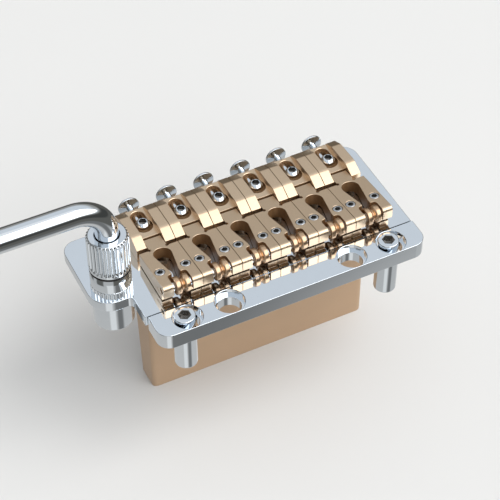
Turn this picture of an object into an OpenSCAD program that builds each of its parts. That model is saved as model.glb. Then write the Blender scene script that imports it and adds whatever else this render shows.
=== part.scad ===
// Six-string guitar tremolo bridge with roller saddles, mirror plated pivot bar and base plate,
// bronze saddles, a fluted arm holder and a tapered tone block.
// Millimetres. X runs across the strings, Y towards the tail of the guitar, Z up.
// The origin is the centre of the mounting holes, on the underside of the pivot bar.

/* [Strings] */
// Distance between neighbouring strings
string_pitch = 10.5; // [10.2:0.1:11]
// Hairline left between neighbouring saddles
saddle_gap = 0.1; // [0.06:0.02:0.3]

/* [Pivot bar] */
// Length of the pivot bar
bar_len = 73.2; // [70:0.5:80]
// Front-to-back size of the pivot bar
bar_depth = 8; // [8:0.1:9]
// Thickness of the pivot bar
bar_thick = 4.6; // [4:0.1:6]
// Radius of the two front corners
bar_front_r = 3.5; // [1:0.1:4]
// Distance between the two outer holes, which take the studs
stud_hole_spacing = 56; // [54:0.1:58]
// Distance between the two inner holes
inner_hole_spacing = 33.6; // [30:0.1:38]
// Diameter of the counterbore of each hole
counterbore_d = 7.6; // [7:0.1:7.6]
// Depth of the counterbore
counterbore_depth = 1.8; // [1:0.1:2.2]
// Diameter of each hole under its counterbore
bar_hole_d = 5.8; // [5.6:0.1:6.2]

/* [Studs] */
// How far the studs stand towards the bass side of their holes
stud_shift = 0.8; // [0:0.1:0.8]
// Diameter of a stud's round head
stud_head_d = 5.44; // [5:0.02:5.6]
// Height of the head above the bar
stud_head_proud = 1.15; // [0.4:0.05:1.2]
// Diameter of a stud's threaded shank
stud_shank_d = 4; // [3:0.1:4]
// Diameter of the sleeve that is sunk into the guitar
sleeve_d = 5.8; // [5:0.1:6.4]
// Length of the sleeve below the bar
sleeve_len = 11.1; // [8:0.1:20]

/* [Base plate] */
// Thickness of the base plate
plate_thick = 3; // [2.5:0.1:4]
// Seam between the bar and the plate
seam = 0.3; // [0.3:0.02:0.5]
// Rear edge of the plate, measured from the hole line
plate_rear_y = 36.6; // [35:0.1:40]
// Radius of the rear corners
plate_corner_r = 4; // [2:0.1:5]
// Diameter of the fulcrum rods in the seam
rod_d = 1.8; // [1.2:0.1:1.8]
// Depth of the rods' axis under the top surface
rod_depth = 1.3; // [1.1:0.05:1.4]
// Length of each fulcrum rod
rod_len = 11; // [6:1:11]

/* [Arm holder] */
// Distance of the arm's axis from the middle string
arm_x = 40.5; // [40.4:0.1:42]
// Distance of the arm's axis behind the hole line
arm_y = 16.9; // [14:0.1:20]
// Outer diameter of the fluted rings
collar_d = 10.3; // [10:0.1:11]
// Number of flutes round each ring
flute_count = 32; // [24:1:36]
// Height of the fluted lock ring
lock_ring_h = 3; // [2.5:0.1:5]
// Height of the smooth spacer ring
spacer_h = 4.2; // [2:0.05:5]
// Height of the fluted collar
collar_h = 10.6; // [8:0.1:14]
// Diameter of the hole in the top of the collar
collar_hole_d = 6.2; // [6:0.1:6.6]
// Depth of the socket below the top surface
socket_depth = 10.4; // [8:0.1:14]
// Diameter of the arm
arm_d = 5.8; // [5:0.1:5.9]
// Height of the arm's level run above the plate
arm_run_z = 27.8; // [26:0.1:34]
// Radius of the bend, on the arm's centre line
arm_bend_r = 8; // [6.5:0.1:9]
// Reach of the arm from its axis to its tip
arm_reach = 118; // [60:1:160]

/* [Tone block] */
// Length of the block
block_len = 62.7; // [60:0.1:66]
// Depth of the block's foot below the top surface
block_depth = 44.1; // [36:0.1:48]
// Front face of the block behind the hole line
block_front_y = 17; // [16.6:0.1:17.2]
// Thickness of the block at its foot
block_foot_t = 7.1; // [6.8:0.1:9]
// Thickness of the block under the plate
block_top_t = 10.6; // [9.5:0.1:12]
// Radius of the block's upright edges
block_edge_r = 1.7; // [0.5:0.1:2]
// String holes behind the hole line
string_hole_y = 19.9; // [19.8:0.1:20]
// Diameter of the string holes
string_hole_d = 3.2; // [2:0.1:3.4]
// Diameter of the seats for the strings' ball ends
ball_seat_d = 4.2; // [4:0.1:4.4]
// Diameter of the holes for the spring hooks
spring_hole_d = 2.6; // [2:0.1:3]

/* [Saddles] */
// Front face of the toes behind the hole line
toe_y = 5.6; // [5.4:0.1:6]
// Height of the toes' underside above the plate
toe_under_z = 2.15; // [1.8:0.05:2.4]
// Length of the toes' overhang
toe_len = 1.6; // [1.4:0.05:2.6]
// Height of the deck above the plate, at the toes
deck_z = 5.6; // [5.4:0.05:6]
// Fall of the deck towards the rear, in degrees
deck_fall = 7.4; // [6:0.1:8]
// Radius of the toes' upper front edge
toe_r = 1.1; // [0.5:0.1:1.5]
// Gap between the saddle and the plate at its lowest setting
saddle_lift = 0.35; // [0.2:0.05:0.4]
// Width of the pocket for the roller
pocket_w = 5.1; // [4.6:0.1:5.4]
// Diameter of the teardrop hole's round end
teardrop_d = 4.6; // [4:0.1:5]
// Width of the teardrop's neck
neck_w = 2.2; // [1.6:0.1:2.6]

/* [Rollers] */
// Diameter of the roller's flanges
roller_d = 4.56; // [4:0.02:4.6]
// Width of the roller
roller_w = 3.8; // [3.4:0.1:4]
// Diameter at the bottom of the string groove
groove_d = 3; // [2.6:0.1:3.4]
// Diameter of the saddle's two cross pins
pin_d = 1.5; // [1.2:0.1:1.5]

/* [Screws] */
// Diameter of the height screws
height_screw_d = 2.5; // [2:0.1:2.8]
// Distance of each height screw from its string
height_screw_x = 3.4; // [3.2:0.05:3.5]
// Diameter of the clamp screw's head
clamp_head_d = 3.6; // [3.2:0.02:3.8]
// Diameter of the clamp screw's shank
clamp_shank_d = 2.4; // [2:0.1:2.5]
// Diameter of the thumb screw's rim
thumb_d = 5.7; // [5:0.1:6.4]
// Diameter of the thumb screw's shank
thumb_shank_d = 1.8; // [1.4:0.1:2]

/* [Hidden] */

$fn = 64;
// Overshoot that keeps cuts clear of the faces they open
eps = 0.1;
// Radial clearance of a shaft that turns in its hole
running = 0.05;
// Gap between faces that slide on each other
slip = 0.05;
string_count = 6;
// Small radius on the plates' square corners
small_r = 0.4;

// Finishes
chrome = "#c9d2da";
bronze = "#a8977f";
block_tone = "#ab9176";
copper = "#d9a679";
steel = "#9a9da1";
black = "#1b1b1b";
nylon = "#e6e2d6";

// Seam and hinge
seam_y = bar_depth / 2;
plate_front_y = seam_y + seam;
hinge_y = seam_y + seam / 2;
hinge_z = -rod_depth;
// Fulcrum rods start this far from the middle
rod_start_x = 1.5;

// Floor of the sleeves and of the arm's socket
sleeve_floor = 1;

// Plate outline
plate_half = bar_len / 2 - 0.3;
plate_left_x = -(bar_len / 2 + 0.7);
wing_front_r = 5.6;
wing_rear_r = plate_corner_r - 0.3;
wing_front_y = arm_y - 4.75;
rear_step = 0.9;
wing_rear_y = plate_rear_y - rear_step;
wing_left_x = -(arm_x + 6.15);
notch_r = 1.3;

// Arm holder
collar_r = collar_d / 2;
sleeve_r = collar_r + 0.15;
neck_r = 4;
liner_r = 3.4;
seal_z = lock_ring_h + spacer_h;
neck_top_z = seal_z + 6;
seal_h = 0.65;
collar_z = seal_z + seal_h;
collar_top_z = collar_z + collar_h;
flute_r = 0.45;
flute_rise = 0.15;
socket_floor_z = -socket_depth + sleeve_floor;
arm_end_z = socket_floor_z + 0.3;

// Block
block_rear_foot_y = block_front_y + block_foot_t;
block_rear_top_y = block_front_y + block_top_t;
ball_seat_depth = 12;
spring_hole_depth = 7;
block_screw_r = 1.5;
screw_spare = 0.15;
block_screw_sink = 1.5;
block_screw_grip = 8;
block_screw_y = 24;
function block_screw_xs() = [for (k = [-1:1]) k * 2 * string_pitch];

// Saddle
saddle_w = string_pitch - saddle_gap;
deck_drop = tan(deck_fall);
function deck_at(y) = deck_z - (y - toe_y - toe_r) * deck_drop;
shoulder_y = 20.6;
tongue_y = 25.05;
ear_w = 2.7;
ear_inner = saddle_w / 2 - ear_w;
tongue_w = 2 * ear_inner - 0.3;
roller_y = toe_y + 1.6;
roller_z = 3.7;
pocket_rear_y = roller_y + roller_d / 2 + 0.5;
teardrop_y = 18;
height_screw_y = 12;
tilt_pin_y = 24;
tilt_pin_z = 1.6;
tilt_pin_reach = saddle_w / 2 - 1;
washer_r = 1.2;
washer_t = pocket_w / 2 - roller_w / 2 - slip;
washer_x = pocket_w / 2 - washer_t / 2;

// Carriage
ear_front_y = 22;
ear_front_z = 3.05;
ear_top_y = 25.6;
ear_top_z = 5.2;
ear_rear_y = 32.9;
ear_rear_z = 4.8;
carriage_rear_y = 36.05;
carriage_front_y = tongue_y + 0.35;
channel_z = 3.2;
clamp_y = 30.1;
slot_front_y = 29.65;
slot_rear_y = 33.35;
head_floor_z = 2.3;
clamp_head_z = 4.4;
thumb_z = 1.3;

function string_x(i) = (i - (string_count - 1) / 2) * string_pitch;

// Everything above the guitar's top is measured from the plate's top surface
module on_top() {
    translate([0, 0, bar_thick]) children();
}

// A cylinder between two heights
module post(r, z0, z1) {
    translate([0, 0, z0]) cylinder(r = r, h = z1 - z0);
}

// The sliver outside a fillet of radius r between two straight edges that leave corner c along d1 and d2
module fillet_sliver(c, d1, d2, r) {
    half = acos(d1 * d2) / 2;
    t = r / tan(half);
    centre = c + (d1 + d2) / norm(d1 + d2) * r / sin(half);
    difference() {
        polygon([c - (d1 + d2) * eps, c + d1 * t - d2 * eps, c + d1 * t, centre,
            c + d2 * t, c + d2 * t - d1 * eps]);
        translate(centre) circle(r = r);
    }
}

// A profile drawn in Y and Z, extruded across the strings to width w
module across(w) {
    rotate([90, 0, 90]) translate([0, 0, -w / 2]) linear_extrude(w) children();
}

// A pin along X
module cross_pin(r, y, z, x0, x1) {
    translate([x0, y, z]) rotate([0, 90, 0]) cylinder(r = r, h = x1 - x0);
}

module hex_socket(across_flats, depth) {
    translate([0, 0, -depth]) cylinder(d = across_flats / cos(30), h = depth + eps, $fn = 6);
}

module pivot_bar() {
    rim = 0.12;
    color(chrome) difference() {
        linear_extrude(bar_thick) difference() {
            translate([-bar_len / 2, -bar_depth / 2]) square([bar_len, bar_depth]);
            for (s = [-1, 1]) {
                fillet_sliver([s * bar_len / 2, -bar_depth / 2], [-s, 0], [0, 1], bar_front_r);
                fillet_sliver([s * bar_len / 2, bar_depth / 2], [-s, 0], [0, -1], small_r);
            }
        }
        for (s = [-1, 1], spacing = [stud_hole_spacing, inner_hole_spacing])
            translate([s * spacing / 2, 0, 0]) {
                post(bar_hole_d / 2, -eps, bar_thick + eps);
                post(counterbore_d / 2, bar_thick - counterbore_depth, bar_thick + eps);
                translate([0, 0, bar_thick - rim])
                    cylinder(r1 = counterbore_d / 2, r2 = counterbore_d / 2 + rim, h = rim);
            }
        on_top() for (s = [-1, 1]) fulcrum_space(s, running);
    }
}

// The space of a fulcrum rod in the seam, wider and longer by the spare all round
module fulcrum_space(s, spare) {
    middle = s * (rod_start_x + rod_len / 2);
    half = rod_len / 2 + spare;
    cross_pin(rod_d / 2 + spare, hinge_y, hinge_z, middle - half, middle + half);
}

module fulcrum_rod(s) {
    color(steel) on_top() fulcrum_space(s, 0);
}

module stud(s) {
    head_r = stud_head_d / 2;
    edge = 0.3;
    hex_w = 2.7;
    hex_depth = 1.9;
    shank_end_z = -bar_thick - sleeve_len + sleeve_floor + 0.5;
    color(chrome) on_top() translate([s * stud_hole_spacing / 2 - stud_shift, 0, 0]) difference() {
        union() {
            rotate_extrude() polygon([[0, -counterbore_depth], [head_r, -counterbore_depth],
                [head_r, stud_head_proud - edge], [head_r - edge, stud_head_proud], [0, stud_head_proud]]);
            post(stud_shank_d / 2, shank_end_z, 0);
        }
        translate([0, 0, stud_head_proud]) hex_socket(hex_w, hex_depth);
    }
}

module sleeve(s) {
    r = sleeve_d / 2;
    bore_r = stud_shank_d / 2 + running;
    edge = 0.4;
    color(chrome) translate([s * stud_hole_spacing / 2 - stud_shift, 0, 0])
        rotate_extrude() polygon([[bore_r, 0], [r, 0], [r, edge - sleeve_len], [r - edge, -sleeve_len],
            [0, -sleeve_len], [0, sleeve_floor - sleeve_len], [bore_r, sleeve_floor - sleeve_len]]);
}

module plate_outline() {
    difference() {
        union() {
            translate([plate_left_x, plate_front_y])
                square([plate_half - plate_left_x, plate_rear_y - plate_front_y]);
            translate([wing_left_x, wing_front_y])
                square([plate_left_x - wing_left_x + eps, wing_rear_y - wing_front_y]);
            translate([plate_left_x - notch_r, wing_front_y - notch_r]) square(notch_r + eps);
        }
        translate([plate_left_x - notch_r, wing_front_y - notch_r]) circle(r = notch_r);
        fillet_sliver([plate_half, plate_rear_y], [-1, 0], [0, -1], plate_corner_r);
        fillet_sliver([plate_left_x, plate_rear_y], [1, 0], [0, -1], rear_step - 0.1);
        fillet_sliver([wing_left_x, wing_rear_y], [1, 0], [0, -1], wing_rear_r);
        fillet_sliver([wing_left_x, wing_front_y], [1, 0], [0, 1], wing_front_r);
        fillet_sliver([plate_left_x, plate_front_y], [1, 0], [0, 1], small_r);
        fillet_sliver([plate_half, plate_front_y], [-1, 0], [0, 1], small_r);
    }
}

module base_plate() {
    color(chrome) on_top() difference() {
        translate([0, 0, -plate_thick]) linear_extrude(plate_thick) plate_outline();
        translate([-arm_x, arm_y, 0]) post(neck_r + running, -plate_thick - eps, eps);
        for (s = [-1, 1]) fulcrum_space(s, 0);
        for (i = [0:string_count - 1]) {
            translate([string_x(i), string_hole_y, 0]) post(ball_seat_d / 2, -plate_thick - eps, eps);
            translate([string_x(i), clamp_y, 0]) post(clamp_shank_d / 2, -plate_thick - eps, eps);
        }
        for (x = block_screw_xs()) translate([x, block_screw_y, 0]) block_screw_space(screw_spare);
    }
}

// The hole of a countersunk screw that holds the block to the plate
module block_screw_space(spare) {
    post(block_screw_r + spare, -plate_thick - eps, 0);
    translate([0, 0, -block_screw_sink])
        cylinder(r1 = block_screw_r + spare, r2 = 2 * block_screw_r + spare, h = block_screw_sink + eps);
}

module block_screws() {
    hex_w = 2;
    hex_depth = 1.1;
    color(steel) on_top() for (x = block_screw_xs()) translate([x, block_screw_y, 0]) difference() {
        union() {
            post(block_screw_r, -plate_thick - block_screw_grip, 0);
            translate([0, 0, -block_screw_sink])
                cylinder(r1 = block_screw_r, r2 = 2 * block_screw_r, h = block_screw_sink);
        }
        hex_socket(hex_w, hex_depth);
    }
}

module tone_block() {
    color(block_tone) on_top() difference() {
        intersection() {
            translate([0, 0, -block_depth]) linear_extrude(block_depth - plate_thick) difference() {
                translate([-block_len / 2, block_front_y]) square([block_len, block_top_t]);
                for (s = [-1, 1])
                    fillet_sliver([s * block_len / 2, block_front_y], [-s, 0], [0, 1], block_edge_r);
            }
            across(block_len + 1) polygon([[block_front_y - 1, -block_depth - 1],
                [block_rear_foot_y, -block_depth - 1], [block_rear_foot_y, -block_depth],
                [block_rear_top_y, -plate_thick], [block_rear_top_y, 0], [block_front_y - 1, 0]]);
        }
        for (i = [0:string_count - 1]) translate([string_x(i), string_hole_y, 0]) {
            post(string_hole_d / 2, -block_depth - eps, 0);
            post(ball_seat_d / 2, -block_depth - eps, -block_depth + ball_seat_depth);
        }
        for (k = [-2:2]) translate([k * string_pitch, block_front_y + block_foot_t / 2, 0])
            post(spring_hole_d / 2, -block_depth - eps, -block_depth + spring_hole_depth);
        for (x = block_screw_xs()) translate([x, block_screw_y, 0])
            post(block_screw_r, -plate_thick - block_screw_grip - 1, 0);
    }
}

// Upright flutes round a ring, from z0 to z1
module flutes(z0, z1) {
    for (k = [0:flute_count - 1]) rotate(k * 360 / flute_count) translate([collar_r + flute_rise, 0, 0])
        translate([0, 0, z0]) cylinder(r = flute_r, h = z1 - z0, $fn = 16);
}

module at_arm() {
    on_top() translate([-arm_x, arm_y, 0]) children();
}

module arm_socket() {
    edge = 0.3;
    color(chrome) at_arm() rotate_extrude() polygon([[0, socket_floor_z], [liner_r, socket_floor_z],
        [liner_r, neck_top_z], [neck_r, neck_top_z], [neck_r, -plate_thick], [sleeve_r, -plate_thick],
        [sleeve_r, -socket_depth + edge], [sleeve_r - edge, -socket_depth], [0, -socket_depth]]);
}

module arm_lock_ring() {
    edge = 0.3;
    land = 0.15;
    color(chrome) at_arm() difference() {
        rotate_extrude() polygon([[neck_r, 0], [collar_r, 0], [collar_r, lock_ring_h - edge],
            [collar_r - edge, lock_ring_h], [neck_r, lock_ring_h]]);
        flutes(-eps, lock_ring_h - land);
    }
}

module arm_spacer_ring() {
    edge = 0.15;
    bevel = 0.4;
    bevel_h = 1.4;
    color(chrome) at_arm() translate([0, 0, lock_ring_h])
        rotate_extrude() polygon([[neck_r, 0], [collar_r - edge, 0], [collar_r, edge],
            [collar_r, spacer_h - bevel_h], [collar_r - bevel, spacer_h], [neck_r, spacer_h]]);
}

module arm_seal() {
    color(black) at_arm() difference() {
        post(collar_r - 0.05, seal_z, seal_z + seal_h - slip);
        post(neck_r, seal_z - eps, collar_z + eps);
    }
}

module arm_collar() {
    foot_edge = 0.3;
    foot_land = 1.1;
    shoulder = 0.6;
    roof = 2;
    color(chrome) at_arm() translate([0, 0, collar_z]) difference() {
        rotate_extrude() difference() {
            polygon([[0, 0], [collar_r - foot_edge, 0], [collar_r, foot_edge],
                [collar_r, collar_h - shoulder],
                [collar_r - shoulder, collar_h], [0, collar_h]]);
            square([2 * neck_r + 2 * running, 2 * (collar_h - roof)], center = true);
            square([collar_hole_d, 3 * collar_h], center = true);
        }
        flutes(foot_land, collar_h - shoulder + 0.2);
    }
}

module arm_liner() {
    color(nylon) at_arm() difference() {
        post(liner_r, socket_floor_z, neck_top_z);
        post(arm_d / 2 + running, socket_floor_z - eps, neck_top_z + eps);
    }
}

module tremolo_arm() {
    r = arm_d / 2;
    bend_z = arm_run_z - arm_bend_r;
    run_end = arm_reach - r;
    color(chrome) at_arm() {
        post(r, arm_end_z, bend_z);
        translate([-arm_bend_r, 0, bend_z]) rotate([90, 0, 0])
            rotate_extrude(angle = 90, $fn = 96) translate([arm_bend_r, 0]) circle(r = r);
        translate([-arm_bend_r, 0, arm_run_z]) rotate([0, -90, 0]) cylinder(r = r, h = run_end - arm_bend_r);
        translate([-run_end, 0, arm_run_z]) sphere(r = r);
    }
}

// Side view of a saddle: toes in front, deck falling to the rear, tongue behind
module saddle_profile(rear_y) {
    front_top = [toe_y, deck_at(toe_y)];
    down = [cos(deck_fall), -sin(deck_fall)];
    difference() {
        polygon([[toe_y, toe_under_z], front_top, [rear_y, deck_at(rear_y)], [rear_y, saddle_lift],
            [toe_y + toe_len, saddle_lift], [toe_y + toe_len, toe_under_z]]);
        fillet_sliver(front_top, [0, -1], down, toe_r);
    }
}

// The teardrop's outline: a round end that narrows to the neck
module teardrop() {
    r = teardrop_d / 2;
    neck_len = 1.2;
    neck_y = pocket_rear_y + neck_len;
    lead = asin((r - neck_w / 2) / (teardrop_y - neck_y));
    translate([0, teardrop_y]) circle(r = r);
    polygon([[-neck_w / 2, pocket_rear_y - 1], [-neck_w / 2, neck_y],
        [-r * cos(lead), teardrop_y - r * sin(lead)], [r * cos(lead), teardrop_y - r * sin(lead)],
        [neck_w / 2, neck_y], [neck_w / 2, pocket_rear_y - 1]]);
}

module pocket() {
    corner = 1;
    difference() {
        translate([-pocket_w / 2, toe_y - 1]) square([pocket_w, pocket_rear_y - toe_y + 1]);
        for (s = [-1, 1]) fillet_sliver([s * pocket_w / 2, pocket_rear_y], [-s, 0], [0, -1], corner);
    }
}

// Puts its children on the axis of a height screw, with Z square to the deck
module at_height_screw(s) {
    translate([s * height_screw_x, height_screw_y, deck_at(height_screw_y)])
        rotate([-deck_fall, 0, 0]) children();
}

module saddle(i) {
    relief_r = 0.45;
    toe_bevel = 0.35;
    color(bronze) on_top() translate([string_x(i), 0, 0]) difference() {
        union() {
            across(saddle_w) saddle_profile(shoulder_y);
            across(tongue_w) saddle_profile(tongue_y);
        }
        translate([0, 0, -1]) linear_extrude(deck_z + 3) {
            teardrop();
            pocket();
        }
        for (s = [-1, 1]) {
            at_height_screw(s) post(height_screw_d / 2 + running, -deck_z - 2, 2);
            translate([s * (tongue_w / 2), shoulder_y, -1]) cylinder(r = relief_r, h = deck_z + 3, $fn = 24);
            translate([s * saddle_w / 2, toe_y, toe_under_z]) rotate([0, 45, 0])
                cube([toe_bevel, 9, toe_bevel], center = true);
        }
        cross_pin(pin_d / 2, roller_y, roller_z, -saddle_w, saddle_w);
        cross_pin(pin_d / 2, tilt_pin_y, tilt_pin_z, -saddle_w, saddle_w);
    }
}

// The roller's axle and the pin that the saddle tilts on
module saddle_pins(i) {
    dimple = 0.6;
    color(chrome) on_top() translate([string_x(i), 0, 0]) {
        difference() {
            cross_pin(pin_d / 2, roller_y, roller_z, -saddle_w / 2, saddle_w / 2);
            cross_pin(pin_d / 4, roller_y, roller_z, -saddle_w / 2 - eps, -saddle_w / 2 + dimple);
        }
        for (s = [-1, 1])
            cross_pin(washer_r, roller_y, roller_z, s * washer_x - washer_t / 2, s * washer_x + washer_t / 2);
        cross_pin(pin_d / 2, tilt_pin_y, tilt_pin_z, -tilt_pin_reach, saddle_w / 2 - 0.2);
    }
}

module roller(i) {
    r = roller_d / 2;
    half = roller_w / 2;
    land = 0.5;
    edge = 0.25;
    lip = 0.15;
    groove = groove_d / 2;
    groove_half = 0.35;
    bore = pin_d / 2 + running;
    color(copper) on_top() translate([string_x(i), roller_y, roller_z]) rotate([0, 90, 0])
        rotate_extrude() polygon([[bore, -half], [r - edge, -half], [r, -half + edge],
            [r, -half + edge + land], [r - lip, -half + edge + land + lip], [groove, -groove_half],
            [groove, groove_half], [r - lip, half - edge - land - lip], [r, half - edge - land],
            [r, half - edge], [r - edge, half], [bore, half]]);
}

module height_screws(i) {
    r = height_screw_d / 2;
    edge = 0.2;
    hex_w = 1.3;
    hex_depth = 1.4;
    len = (deck_at(height_screw_y) - slip) / cos(deck_fall);
    color(steel) on_top() translate([string_x(i), 0, 0]) for (s = [-1, 1]) at_height_screw(s) difference() {
        rotate_extrude() polygon([[0, -len], [r / 2, -len], [r, -len + r / 2], [r, -edge],
            [r - edge, 0], [0, 0]]);
        hex_socket(hex_w, hex_depth);
    }
}

// Side view of an ear
module ear_profile() {
    polygon([[ear_front_y, slip], [ear_front_y, ear_front_z], [ear_top_y, ear_top_z],
        [ear_rear_y, ear_rear_z],
        [carriage_rear_y, channel_z + 0.1], [carriage_rear_y, slip]]);
}

module slot(r, z0, z1) {
    translate([0, slot_front_y, 0]) post(r, z0, z1);
    translate([0, slot_rear_y, 0]) post(r, z0, z1);
    translate([-r, slot_front_y, z0]) cube([2 * r, slot_rear_y - slot_front_y, z1 - z0]);
}

module carriage(i) {
    keyhole_spare = 0.6;
    color(bronze) on_top() translate([string_x(i), 0, 0]) difference() {
        union() {
            for (s = [-1, 1]) translate([s * (saddle_w / 2 - ear_w / 2), 0, 0]) across(ear_w) ear_profile();
            translate([-ear_inner - eps, carriage_front_y, slip])
                cube([2 * ear_inner + 2 * eps, carriage_rear_y - carriage_front_y, channel_z - slip]);
        }
        slot(clamp_shank_d / 2 + 0.15, -1, ear_top_z);
        slot(clamp_head_d / 2 + running, head_floor_z, ear_top_z);
        translate([0, slot_front_y, 0]) post(clamp_head_d / 2 + keyhole_spare, head_floor_z, ear_top_z);
        translate([0, carriage_rear_y + eps, thumb_z]) rotate([90, 0, 0])
            cylinder(r = thumb_shank_d / 2 + running, h = carriage_rear_y - slot_rear_y);
        cross_pin(pin_d / 2 + running, tilt_pin_y, tilt_pin_z, -tilt_pin_reach - 0.1, saddle_w);
    }
}

module clamp_screw(i) {
    r = clamp_head_d / 2;
    edge = 0.6;
    hex_w = 1.8;
    hex_depth = 1.3;
    color(chrome) on_top() translate([string_x(i), clamp_y, 0]) difference() {
        union() {
            rotate_extrude() polygon([[0, head_floor_z + slip], [r, head_floor_z + slip],
                [r, clamp_head_z - edge], [r - edge, clamp_head_z], [0, clamp_head_z]]);
            post(clamp_shank_d / 2, -plate_thick, head_floor_z + 1);
        }
        translate([0, 0, clamp_head_z]) hex_socket(hex_w, hex_depth);
    }
}

module thumb_screw(i) {
    r = thumb_d / 2;
    shank_r = thumb_shank_d / 2;
    tip_y = clamp_y + clamp_shank_d / 2 + slip;
    hub_y = carriage_rear_y + 2.55;
    rim_y = hub_y + 0.5;
    end_y = rim_y + 0.5;
    edge = 0.15;
    tip_edge = 0.4;
    color(chrome) on_top() translate([string_x(i), 0, thumb_z]) rotate([-90, 0, 0])
        rotate_extrude() polygon([[0, tip_y], [shank_r - tip_edge, tip_y], [shank_r, tip_y + tip_edge],
            [shank_r, hub_y], [r, rim_y], [r, end_y - edge], [r - edge, end_y], [0, end_y]]);
}

pivot_bar();
stud(-1);  // stud_bass
stud(1);  // stud_treble
sleeve(-1);  // sleeve_bass
sleeve(1);  // sleeve_treble
base_plate();
fulcrum_rod(-1);  // fulcrum_rod_bass
fulcrum_rod(1);  // fulcrum_rod_treble
tone_block();
block_screws();
arm_socket();
arm_lock_ring();
arm_spacer_ring();
arm_seal();
arm_collar();
arm_liner();
tremolo_arm();
for (i = [0:string_count - 1]) {
    saddle(i);
    carriage(i);
    roller(i);
    saddle_pins(i);
    height_screws(i);
    clamp_screw(i);
    thumb_screw(i);
}
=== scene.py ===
"""Looks of a six-string guitar tremolo bridge: chromed plate and bar, bronze saddles, fluted arm holder."""

import math

import bmesh
import bpy
from mathutils import Matrix, Vector


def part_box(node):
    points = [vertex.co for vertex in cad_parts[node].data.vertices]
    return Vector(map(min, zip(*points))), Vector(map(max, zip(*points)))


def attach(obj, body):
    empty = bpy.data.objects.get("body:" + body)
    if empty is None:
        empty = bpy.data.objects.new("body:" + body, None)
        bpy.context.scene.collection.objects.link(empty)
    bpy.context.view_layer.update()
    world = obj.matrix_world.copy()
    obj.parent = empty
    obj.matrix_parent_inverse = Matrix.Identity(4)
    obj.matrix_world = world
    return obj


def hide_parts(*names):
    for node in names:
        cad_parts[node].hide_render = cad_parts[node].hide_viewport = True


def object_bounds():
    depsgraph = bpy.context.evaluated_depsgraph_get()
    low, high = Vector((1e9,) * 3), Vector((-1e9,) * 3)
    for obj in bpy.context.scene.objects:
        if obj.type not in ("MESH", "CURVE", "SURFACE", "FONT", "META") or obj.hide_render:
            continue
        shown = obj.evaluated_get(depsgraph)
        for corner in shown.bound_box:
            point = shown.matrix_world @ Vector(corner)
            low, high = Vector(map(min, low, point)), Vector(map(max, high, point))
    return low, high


bl_info = {
    "name": "Tremolo bridge looks",
    "version": (1, 0, 0),
    "blender": (4, 5, 0),
    "location": "View3D > Sidebar > Bridge",
    "description": "Dresses the packed parts of a guitar tremolo bridge and sets them in a studio",
    "category": "Object",
}

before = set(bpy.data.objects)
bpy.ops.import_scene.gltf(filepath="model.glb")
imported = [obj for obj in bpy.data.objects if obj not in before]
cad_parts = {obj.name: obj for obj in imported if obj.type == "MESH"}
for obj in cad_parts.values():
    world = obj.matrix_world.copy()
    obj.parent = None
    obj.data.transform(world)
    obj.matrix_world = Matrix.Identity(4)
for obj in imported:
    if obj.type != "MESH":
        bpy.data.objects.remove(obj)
CAD_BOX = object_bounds()
MM = 0.001
STRINGS = range(1, 7)


def low(node):
    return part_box(node)[0] / MM


def high(node):
    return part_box(node)[1] / MM


def middle(node):
    return (low(node) + high(node)) / 2


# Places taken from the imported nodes, in millimetres
TOP_Z = high("pivot_bar").z
PITCH = middle("saddle_2").x - middle("saddle_1").x
ARM_AXIS = middle("arm_spacer_ring")
ROLLER_AXIS = middle("roller_1")

# Places that several pieces share and no node shows by itself
TILT_AXIS_Y, TILT_AXIS_Z = 24.0, TOP_Z + 1.6
PIN_HOLE_R = 0.8
STRING_HOLE_Y, BALL_SEAT_R = 19.9, 2.1
# Depth of the counterbores that the studs' heads sit in
SEAT_DEPTH = 1.8
# A cutting tool stands this far past what it cuts
PAST = 1


def string_x(n):
    return middle(f"saddle_{n}").x


def tint(hex_colour):
    """An sRGB hex value as linear red, green, blue and alpha."""
    parts = [int(hex_colour[i:i + 2], 16) / 255 for i in (1, 3, 5)]
    return tuple(p / 12.92 if p <= 0.04045 else ((p + 0.055) / 1.055) ** 2.4 for p in parts) + (1.0,)


def add_node(tree, kind, links=None, inputs=None, **settings):
    """Adds a node, sets its properties and unlinked inputs, and links its inputs."""
    node = tree.nodes.new(kind)
    for key, value in settings.items():
        setattr(node, key, value)
    for key, value in (inputs or {}).items():
        node.inputs[key].default_value = value
    for key, socket in (links or {}).items():
        tree.links.new(socket, node.inputs[key])
    return node


# Sizes and colours that a user would change

def length(name, description, millimetres):
    return bpy.props.FloatProperty(name=name, description=description, default=millimetres * MM,
                                   min=0.0, subtype="DISTANCE", unit="LENGTH")


def colour(name, description, hex_colour):
    return bpy.props.FloatVectorProperty(name=name, description=description, size=4, subtype="COLOR",
                                         default=tint(hex_colour), min=0.0, max=1.0)


class BridgeColours(bpy.types.PropertyGroup):
    """Colours of the bridge's finishes"""
    chrome: colour("Chrome", "Bright plating of the plate, bar, arm and screws", "#E2E8EE")
    bronze: colour("Bronze", "Brushed plating of the saddles and carriages", "#E2C9AC")
    # Darker than the bronze: painted shade on the saddles' and carriages' recesses, undersides and faces
    # across gaps
    recess: colour("Recess", "Saddles' recesses, where the plating stays dull", "#8C6A48")
    block: colour("Block", "Coating of the tone block", "#C0A284")
    copper: colour("Copper bronze", "Turned rollers", "#D6B594")
    steel: colour("Steel", "Height screws, rods and block screws", "#C9CCD0")
    rubber: colour("Rubber", "Seal under the collar", "#141414")
    nylon: colour("Nylon", "Liner of the arm's socket", "#DDD8CA")
    floor: colour("Floor", "Studio floor", "#DCDBD9")


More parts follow.
